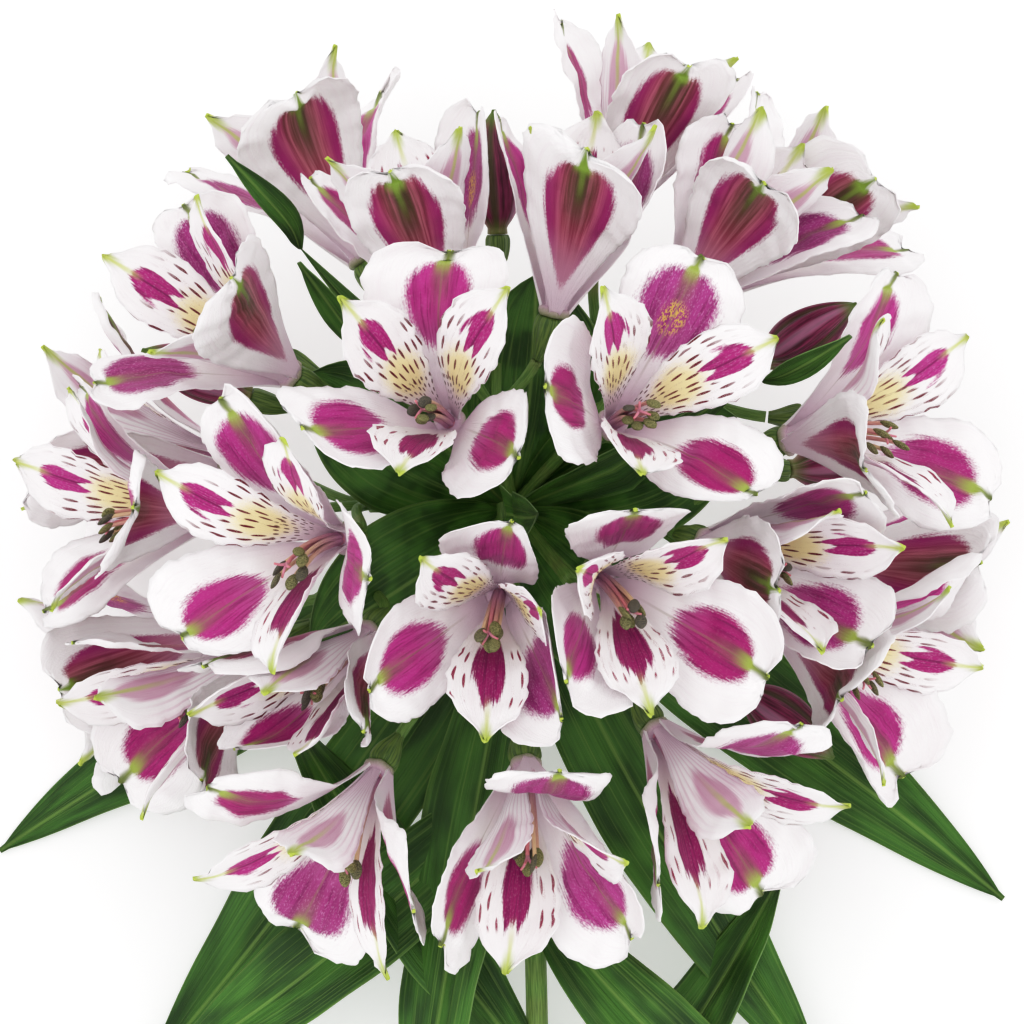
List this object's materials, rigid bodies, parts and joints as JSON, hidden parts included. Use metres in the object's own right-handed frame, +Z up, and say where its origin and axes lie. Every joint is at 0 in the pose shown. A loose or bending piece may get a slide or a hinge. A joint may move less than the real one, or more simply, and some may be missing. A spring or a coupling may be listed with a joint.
{
  "type": "alstroemeria stem",
  "caption": "Cut alstroemeria stem lying on a surface, with lance-shaped leaves and a full umbel of white and magenta flowers and dark buds.",
  "frame": {"origin": "the flat spot under the stem near its cut end, where the part rests on the surface", "axes": "+Z up from the surface that the stem lies on, +Y along the stem from its cut end to the umbel, +X to the umbel's right when it is seen from above with the cut end nearest"},
  "size_m": [0.2392, 0.4214, 0.1568],
  "materials": {
    "tepals": "soft satin petal, white with magenta blotches",
    "stamens": "matte lilac-pink filaments with olive anthers",
    "buds": "satin dark magenta with green tips",
    "greens": "satin mid green leaves and stem"
  },
  "bodies": {
    "root": {"leafy_stem": "greens", "flower_01_tepals": "tepals", "flower_01_stamens": "stamens", "flower_02_tepals": "tepals", "flower_02_stamens": "stamens", "flower_03_tepals": "tepals", "flower_03_stamens": "stamens", "flower_04_tepals": "tepals", "flower_04_stamens": "stamens", "flower_05_tepals": "tepals", "flower_05_stamens": "stamens", "flower_06_tepals": "tepals", "flower_06_stamens": "stamens", "flower_07_tepals": "tepals", "flower_07_stamens": "stamens", "flower_08_tepals": "tepals", "flower_08_stamens": "stamens", "flower_09_tepals": "tepals", "flower_09_stamens": "stamens", "flower_10_tepals": "tepals", "flower_10_stamens": "stamens", "flower_11_tepals": "tepals", "flower_11_stamens": "stamens", "flower_12_tepals": "tepals", "flower_12_stamens": "stamens", "flower_13_tepals": "tepals", "flower_13_stamens": "stamens", "flower_14_tepals": "tepals", "flower_14_stamens": "stamens", "flower_15_tepals": "tepals", "flower_15_stamens": "stamens", "flower_16_tepals": "tepals", "flower_16_stamens": "stamens", "flower_17_tepals": "tepals", "flower_17_stamens": "stamens", "flower_18_tepals": "tepals", "flower_18_stamens": "stamens", "flower_19_tepals": "tepals", "flower_19_stamens": "stamens", "flower_20_tepals": "tepals", "flower_20_stamens": "stamens", "flower_21_tepals": "tepals", "flower_21_stamens": "stamens", "flower_22_tepals": "tepals", "flower_22_stamens": "stamens", "flower_23_tepals": "tepals", "flower_23_stamens": "stamens", "flower_24_tepals": "tepals", "flower_24_stamens": "stamens", "bud_01": "buds", "bud_02": "buds", "bud_03": "buds", "bud_04": "buds", "bud_05": "buds", "bud_06": "buds", "bud_07": "buds", "bud_08": "buds"}
  },
  "joints": []
}
